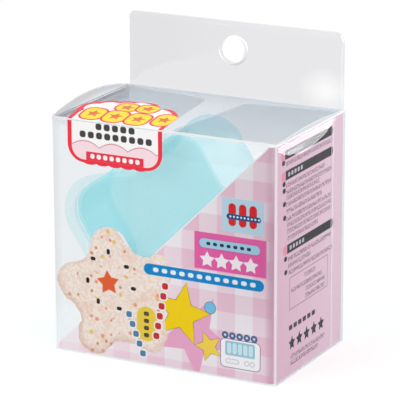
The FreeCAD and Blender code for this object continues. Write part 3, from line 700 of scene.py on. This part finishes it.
class Print(Steps):
    """The steps of a printed sheet: each ink is laid over the last one inside a shape, in mm."""

    def __init__(self, tree, across, up, ground):
        super().__init__(tree)
        self.across = across
        self.up = up
        self.ink = ground

    def patch(self, left, right, low, high, corner):
        sizes = {"Across": self.across, "Up": self.up, "Left": left, "Right": right}
        sizes |= {"Low": low, "High": high, "Corner": corner}
        return self.use(rounded_patch, sizes)["Outside"]

    def around(self, middle, height, wide, tall, corner):
        """A patch by its middle and by half its width and height."""
        return self.patch(middle - wide, middle + wide, height - tall, height + tall, corner)

    def disc(self, middle, height, radius):
        return self.around(middle, height, radius, radius, radius)

    def star(self, middle, height, reach, valley, turn):
        sizes = {"Across": self.across, "Up": self.up, "Middle": middle, "Height": height}
        sizes |= {"Reach": reach, "Valley": valley, "Turn": math.radians(turn)}
        return self.use(star_patch, sizes)["Outside"]

    def inside(self, outside, soft=0.25):
        return self.ramp(outside, soft / 2, -soft / 2)

    def lay(self, share, colour):
        self.ink = self.blend(share, self.ink, colour)

    def fill(self, outside, colour):
        self.lay(self.inside(outside), colour)

    def ringed(self, outside, colour, line, width):
        """A shape with an outline of another colour round it."""
        self.lay(self.ramp(outside, width + 0.12, width - 0.12), line)
        self.fill(outside, colour)

    def row_of(self, number, first, pitch, wide, low, high, corner, colour):
        """Like marks in a row, each a rounded patch."""
        for mark in range(number):
            left = first + pitch * mark
            self.fill(self.patch(left, left + wide, low, high, corner), colour)

    def finish(self, shader, place, fineness, smoothest, roughest):
        """The inks on paper, with its fibres as a faint grain."""
        sizes = {"Place": place, "Fineness": fineness}
        sizes |= {"Smoothest": smoothest, "Roughest": roughest}
        fibre = self.use(paper_fibre, sizes)
        grain = {"Height": fibre["Height"], "Strength": 0.08, "Distance": 0.0002}
        self.put(shader.inputs["Base Color"], self.ink)
        self.put(shader.inputs["Roughness"], fibre["Roughness"])
        self.put(shader.inputs["Normal"], self.node("Bump", grain).outputs[0])


print_ink, steps, shader = new_finish("insert print")
place = steps.use(millimetres, {})
across, back, up = place["Across"], place["Back"], place["Up"]

# Gingham: the two thread ways are the same pink, so that it is deepest where they cross.
CHECK = 8.65


def thread(along, first):
    turn = steps.plus(along, 200 * CHECK - first)
    return steps.math("LESS_THAN", steps.math("FRACT", steps.math("DIVIDE", turn, 2 * CHECK)), 0.5)


threads = steps.times(steps.plus(thread(across, 9.1), thread(up, 13.1)), 0.5)
pale = steps.blend(threads, chart(253, 243, 247), chart(252, 226, 238))
deep = steps.blend(threads, chart(244, 238, 243), chart(237, 197, 214))
# Towards the right the gingham turns from the pale set of pinks to the deep one: painted shade.
gingham = steps.blend(steps.ramp(across, -40.0, 14.0), pale, deep)
front = Print(print_ink.node_tree, across, up, gingham)

# Plain stars and a disc stand at the foot, beside a little dish-drier with five studs over it.
STAR_LINE = chart(92, 80, 40)
KNOB, KNOB_LINE = chart(244, 244, 248), chart(120, 122, 140)
front.fill(front.star(14.6, 18.0, 20.5, 8.8, 60), chart(238, 170, 204))
front.ringed(front.star(8.9, 26.4, 14.6, 6.4, 80), chart(250, 212, 0), STAR_LINE, 0.3)
front.ringed(front.star(22.2, 13.4, 7.0, 3.2, 40), chart(246, 214, 80), STAR_LINE, 0.25)
front.ringed(front.disc(23.0, 31.2, 2.6), chart(120, 196, 232), chart(60, 90, 110), 0.25)
drier = front.patch(28.2, 47.1, 5.6, 18.3, 2.0)
front.ringed(drier, chart(250, 249, 252), chart(96, 98, 122), 0.3)
front.fill(front.patch(30.3, 44.7, 11.0, 17.6, 0.6), chart(164, 202, 220))
for plate in range(5):
    left = 31.2 + 2.6 * plate
    plate_edge = front.patch(left, left + 2.2, 11.7, 16.9, 1.1)
    front.ringed(plate_edge, chart(206, 236, 246), chart(112, 170, 196), 0.15)
front.ringed(front.patch(30.7, 36.9, 7.5, 9.3, 0.9), KNOB, KNOB_LINE, 0.15)
for knob in (40.8, 43.4):
    front.ringed(front.disc(knob, 8.4, 1.0), KNOB, KNOB_LINE, 0.15)
for stud in range(5):
    middle = 30.3 + 3.5 * stud
    front.ringed(front.disc(middle, 20.1, 1.3), chart(82, 118, 166), chart(46, 66, 104), 0.3)
    front.fill(front.disc(middle, 20.1, 0.5), chart(222, 232, 244))

# Blue square with three red pills and a beaded bar across them.
front.fill(front.patch(28.8, 48.9, 66.9, 82.1, 0.4), chart(192, 221, 237))
front.row_of(3, 31.9, 5.0, 3.6, 69.6, 79.8, 1.8, chart(222, 36, 40))
front.fill(front.patch(31.0, 47.4, 72.6, 75.0, 1.1), chart(30, 78, 132))
front.row_of(9, 32.4, 1.7, 0.9, 73.4, 74.3, 0.45, chart(232, 240, 248))

# Magenta block with a pale blue pill and four white stars.
front.fill(front.patch(15.4, 50.1, 48.4, 65.1, 0.3), chart(234, 98, 170))
pill = front.patch(17.8, 47.0, 58.2, 62.3, 2.0)
front.ringed(pill, chart(166, 212, 234), chart(190, 88, 150), 0.25)
front.row_of(7, 21.2, 3.25, 2.0, 59.5, 61.0, 0.7, chart(52, 48, 78))
for mark in range(4):
    front.fill(front.star(21.6 + 7.0 * mark, 52.9, 3.8, 2.0, 90), chart(252, 244, 249))

# The rice star: how far its outline reaches from its middle, every 12 degrees, with pale grains,
# warmer patches and bits of filling pressed into it.
RICE_REACH = (
    23.6, 25.9, 30.9, 32.0, 27.7, 24.1, 23.3, 26.7, 30.7, 30.7, 25.0, 21.4, 22.0, 27.0, 30.4,
    28.9, 25.9, 22.1, 23.1, 28.1, 32.1, 31.3, 25.1, 22.4, 23.2, 27.2, 32.1, 31.3, 27.4, 24.8,
)
FULL_REACH = 40.0
star_across = steps.plus(across, 24.0)
star_up = steps.minus(up, 31.0)
angle = steps.math("DIVIDE", steps.math("ARCTAN2", star_up, star_across), 2 * math.pi)
outline = steps.node("FloatCurve", {"Value": steps.math("FRACT", angle)})
curve = outline.mapping.curves[0]
for step, reach in enumerate(RICE_REACH):
    if step:
        curve.points.new(step / len(RICE_REACH), reach / FULL_REACH)
for end_point, turn in ((0, 0.0), (-1, 1.0)):
    curve.points[end_point].location = (turn, RICE_REACH[0] / FULL_REACH)
outline.mapping.update()
ragged = steps.node("TexNoise", {"Vector": place["Place"], "Scale": 0.45, "Detail": 2.0})
ragged = steps.ramp(ragged.outputs[0], 0.3, 0.7, -0.5, 0.5)
edge = steps.math("MULTIPLY_ADD", outline.outputs[0], FULL_REACH, ragged)
rice_outside = steps.minus(steps.length(star_across, star_up), edge)

grains = steps.node("TexVoronoi", {"Vector": place["Place"], "Scale": 0.75})
grains = steps.ramp(grains.outputs["Distance"], 0.25, 0.75)
rice = steps.blend(grains, chart(254, 241, 231), chart(243, 222, 209))
patches = steps.node("TexNoise", {"Vector": place["Place"], "Scale": 0.11, "Detail": 5.0})
warm = steps.ramp(patches.outputs[0], 0.54, 0.74, 0.0, 0.65)
rice = steps.blend(warm, rice, chart(240, 196, 160))
for fineness, limit, bit_edge, hue in (
    (0.42, 0.86, 0.40, chart(214, 122, 66)),
    (0.36, 0.88, 0.42, chart(232, 150, 100)),
    (0.33, 0.92, 0.42, chart(240, 194, 60)),
):
    bits = steps.node("TexVoronoi", {"Vector": place["Place"], "Scale": fineness})
    lucky = steps.node("SeparateColor", {"Color": bits.outputs["Color"]}).outputs[0]
    lucky = steps.ramp(lucky, limit, limit + 0.02, 0.0, 0.85)
    bit = steps.ramp(bits.outputs["Distance"], bit_edge, bit_edge - 0.18)
    rice = steps.blend(steps.times(bit, lucky), rice, hue)
low_side = steps.math("MULTIPLY_ADD", star_up, -0.010, steps.times(star_across, -0.006))
rim_shade = steps.ramp(low_side, -0.1, 0.25, 0.1, 0.6)
rim_shade = steps.times(steps.ramp(rice_outside, -4.0, 0.0), rim_shade)
rice = steps.blend(rim_shade, rice, chart(212, 168, 142))

SLOPE = math.atan2(104.9, 106.38)
SLOPE_FOOT_ACROSS, SLOPE_FOOT_UP = -53.58, 3.5
above = steps.times(steps.minus(up, SLOPE_FOOT_UP), math.cos(SLOPE))
beside = steps.times(steps.minus(across, SLOPE_FOOT_ACROSS), math.sin(SLOPE))
below_cut = steps.minus(beside, above)
in_picture = steps.most(front.inside(rice_outside, 0.4), steps.ramp(below_cut, 0.1, -0.1))
front.lay(in_picture, rice)

# A slice of carrot cut as a plain star lies on it, with a scatter of black sesame.
carrot = front.star(-27.6, 35.2, 5.6, 2.9, 96)
front.ringed(carrot, chart(232, 96, 50), chart(240, 150, 100), 0.35)
for wide, tall, places in (
    (2.6, 1.7, ((-36.4, 44.5), (-19.6, 43.0), (-16.2, 33.4), (-23.4, 23.2))),
    (1.7, 2.6, ((-28.2, 48.2), (-38.8, 33.6), (-33.6, 24.6))),
):
    for left, low in places:
        front.fill(front.patch(left, left + wide, low, low + tall, 0.8), chart(40, 34, 34))

# Over it lie a blue banner, a yellow oval and two runs of marks.
front.fill(front.patch(-9.6, 49.0, 42.0, 47.1, 2.55), chart(0, 138, 208))
front.row_of(12, -5.0, 4.3, 2.7, 43.6, 45.6, 0.9, chart(240, 248, 252))
front.fill(front.patch(-13.3, -3.6, 11.0, 27.0, 4.85), chart(240, 208, 70))
for mark in range(4):
    low = 12.8 + 3.3 * mark
    front.fill(front.patch(-9.8, -7.2, low, low + 2.0, 0.8), chart(84, 74, 60))
for number, first, sideways, top, down, half, corner, colour, line in (
    (6, 0.9, -0.9, 37.7, -4.7, 1.5, 1.0, chart(200, 50, 54), chart(250, 244, 240)),
    (5, -17.2, 1.7, 22.2, -4.3, 1.4, 0.9, chart(84, 132, 172), chart(250, 246, 244)),
):
    for mark in range(number):
        block = front.around(first + sideways * mark, top + down * mark, half, half, corner)
        front.ringed(block, colour, line, 0.6)

# The cut edge is white. The card is darker in its fold and towards its upper right side: painted
# shade.
raw_edge = steps.times(steps.ramp(below_cut, 0.7, 0.4), steps.ramp(rice_outside, 0.0, 0.4))
front.lay(raw_edge, chart(252, 250, 251))
fold = steps.times(steps.ramp(across, 49.0, 52.6), steps.ramp(up, 92.0, 72.0, 0.45, 0.85))
front.lay(fold, chart(204, 156, 180))
wear_and_painted_light = steps.times(steps.ramp(across, 8.0, 52.0), steps.ramp(up, 18.0, 46.0, 0.0, 0.16))
front.lay(wear_and_painted_light, chart(0, 0, 0))

# The side panel: black bars with pink ends, bullets, broken rules and a ruled frame.
BLACK_INK = chart(28, 22, 30)
side_pink = steps.ramp(back, -30.0, 20.0)
side_pink = steps.blend(side_pink, chart(243, 200, 219), chart(254, 218, 234))
side = Print(print_ink.node_tree, back, up, side_pink)
breaks = steps.node("Mapping", {"Vector": place["Place"], "Scale": (0.0, 1.0, 0.7)}).outputs[0]
breaks = steps.node("TexNoise", {"Vector": breaks, "Scale": 1.3, "Detail": 2.0}).outputs[0]
broken = steps.ramp(breaks, 0.44, 0.52, 0.0, 0.65)
for height, near, far in (
    (97.0, -24.3, 22.5), (87.4, -24.2, 14.4), (84.4, -24.2, 22.4), (81.8, -24.0, 9.5),
    (78.9, -23.8, 22.4), (75.7, -23.8, 12.0), (72.4, -23.7, 22.4), (69.5, -22.9, 22.4),
    (66.6, -22.8, 22.4), (63.5, -22.8, 8.0), (54.0, -22.0, 22.4), (50.9, -21.8, 0.8),
    (47.7, -21.7, 23.5), (8.6, -19.0, 16.0), (5.8, -19.0, 9.0), (42.4, -5.4, 5.7),
    (38.8, -18.6, 12.9), (35.7, -4.3, 15.7), (32.6, -4.3, 15.7),
):
    rule = side.inside(side.patch(near, far, height - 1.0, height + 1.0, 0.3))
    side.lay(steps.times(rule, broken), chart(92, 56, 82))
for near, far, low in ((-25.2, 22.9, 99.1), (-24.6, 23.2, 89.9), (-22.7, 24.0, 56.7)):
    high = low + 4.1
    side.fill(side.patch(near - 4.2, near + 3.0, low, high, 2.0), chart(248, 160, 184))
    side.fill(side.patch(near, near + 8.0, low, high, 0.1), BLACK_INK)
    side.fill(side.patch(near + 2.0, far, low, high, 1.9), BLACK_INK)
    side.row_of(5, near + 2.4, 3.1, 2.0, low + 1.1, high - 1.1, 0.6, chart(206, 198, 206))
for near, height in (
    (-26.8, 98.0), (-26.2, 88.6), (-26.0, 85.6), (-25.7, 79.6), (-25.4, 73.4),
    (-24.3, 54.8), (-24.0, 48.7),
):
    side.fill(side.around(near, height, 1.5, 1.1, 1.1), chart(36, 28, 38))
side.row_of(6, -20.5, 4.6, 3.4, 21.2, 23.4, 0.5, chart(66, 56, 68))
for mark in range(5):
    side.fill(side.star(-17.4 + 7.4 * mark, 14.8, 3.4, 1.7, 90), chart(44, 36, 48))
frame_line = steps.math("ABSOLUTE", side.patch(-20.1, 18.4, 30.6, 45.1, 0.1))
side.lay(steps.ramp(frame_line, 0.28, 0.12, 0.0, 0.75), chart(150, 100, 120))

# Past the start of the bend the print is the side's, and the card's back is bare.
fold_in = steps.most(steps.minus(across, 51.15), 0.0)
fold_out = steps.most(steps.minus(-31.55, back), 0.0)
printed_face = steps.math("GREATER_THAN", steps.length(fold_in, fold_out), 2.825)
on_side = steps.math("GREATER_THAN", fold_in, fold_out)
front.ink = steps.blend(on_side, front.ink, side.ink)
front.ink = steps.blend(printed_face, chart(238, 236, 233), front.ink)
front.finish(shader, place["Place"], 2.2, 0.42, 0.55)
front.put(shader.inputs["Specular IOR Level"], 0.05)
cover("printed_insert", print_ink)


# Seal label: one paper sticker that laps from the front wall onto the lid and keeps it shut, in
# two pieces that part at the lid's crease. White in a red border, with a pink foot and a red bar.

LABEL_LEFT, LABEL_WIDTH, LABEL_REACH = -46.7, 47.0, 25.5
LABEL_FOOT, LABEL_BODY_TOP, LABEL_CORNER = 88.3, 121.5, 8.0
LID_CREASE, FRONT_WALL = 107.4, 35.0
BORDER = 2.1
LABEL_LOBES = (
    (1.00, 0.50, 0.30), (0.87, 0.86, 0.11), (0.72, 0.86, 0.20), (0.64, 1.06, 0.18),
    (0.46, 1.03, 0.18), (0.28, 0.94, 0.18), (0.10, 0.77, 0.15), (-0.01, 0.50, 0.50),
)
RED = chart(238, 22, 52)

seal_print, steps, shader = new_finish("seal print")
place = steps.use(millimetres, {})
over_edge = steps.most(steps.plus(place["Back"], FRONT_WALL), 0.0)
along = steps.plus(steps.least(place["Up"], LID_CREASE), over_edge)
across = place["Across"]
seal = Print(seal_print.node_tree, across, along, RED)

# The border follows the cut outline: a rounded body and a lobe for each bump along the top.
paper = seal.patch(
    LABEL_LEFT, LABEL_LEFT + LABEL_WIDTH, LABEL_FOOT, LABEL_BODY_TOP, LABEL_CORNER
)
for (near, low, bend), (far, high, _) in zip(LABEL_LOBES, LABEL_LOBES[1:]):
    first = Vector((LABEL_LEFT + LABEL_WIDTH * near, LID_CREASE + LABEL_REACH * low))
    last = Vector((LABEL_LEFT + LABEL_WIDTH * far, LID_CREASE + LABEL_REACH * high))
    chord = last - first
    radius = LABEL_WIDTH * bend
    inward = Vector((-chord.y, chord.x)).normalized()
    centre = (first + last) / 2 + inward * math.sqrt(radius ** 2 - chord.length_squared / 4)
    paper = steps.least(paper, seal.disc(centre.x, centre.y, radius))
seal.lay(steps.ramp(paper, 0.15 - BORDER, -0.15 - BORDER), chart(252, 251, 250))

# The pink foot has three humps, with a fine toothed line along them, and a red bar on it.
hump = steps.math("DIVIDE", steps.math("PINGPONG", steps.plus(across, 38.0), 7.1), 7.1)
hump_line = steps.math("MULTIPLY_ADD", steps.math("POWER", hump, 2.0), -2.6, 98.7)
teeth = steps.times(steps.math("PINGPONG", across, 0.45), 0.9)
above_hump = steps.minus(along, steps.plus(hump_line, teeth))
within = steps.ramp(paper, -2.0, -2.3)
seal.lay(steps.times(steps.ramp(above_hump, 0.1, -0.1), within), chart(249, 222, 229))
zigzag = steps.ramp(steps.math("ABSOLUTE", above_hump), 0.26, 0.10)
seal.lay(steps.times(zigzag, within), chart(190, 60, 84))
seal.fill(seal.patch(-37.5, -8.9, 90.3, 94.2, 0.3), chart(232, 28, 58))
seal.row_of(8, -35.4, 3.2, 2.1, 91.2, 93.3, 0.8, chart(252, 246, 246))

# Two rows of dark blocks, and six yellow pills with a star each.
for number, first, low in ((9, -40.6, 100.3), (5, -32.6, 104.4)):
    seal.row_of(number, first, 4.1, 3.0, low, low + 3.0, 1.1, chart(44, 38, 42))
for middle, height, wide, tall in (
    (-26.8, 125.6, 4.6, 4.6), (-17.4, 127.4, 4.6, 4.8), (-37.6, 114.6, 5.0, 5.6),
    (-26.6, 114.6, 5.0, 5.8), (-15.6, 114.8, 5.0, 5.8), (-4.2, 117.6, 4.2, 6.6),
):
    seal.ringed(seal.around(middle, height, wide, tall, 3.6), chart(250, 224, 26), RED, 1.0)
    seal.fill(seal.star(middle, height, 3.6, 1.7, 90), chart(224, 110, 30))

# The glued side is bare paper. The printed side faces forwards or up.
facing = steps.parts(steps.node("TexCoord").outputs["Normal"])
facing_out = steps.most(steps.times(facing[1], -1.0), facing[2])
seal.lay(steps.math("LESS_THAN", facing_out, 0.3), chart(240, 240, 238))
seal.finish(shader, place["Place"], 1.8, 0.35, 0.5)
for node in ("seal_label_front", "seal_label_top"):
    cover(node, seal_print)
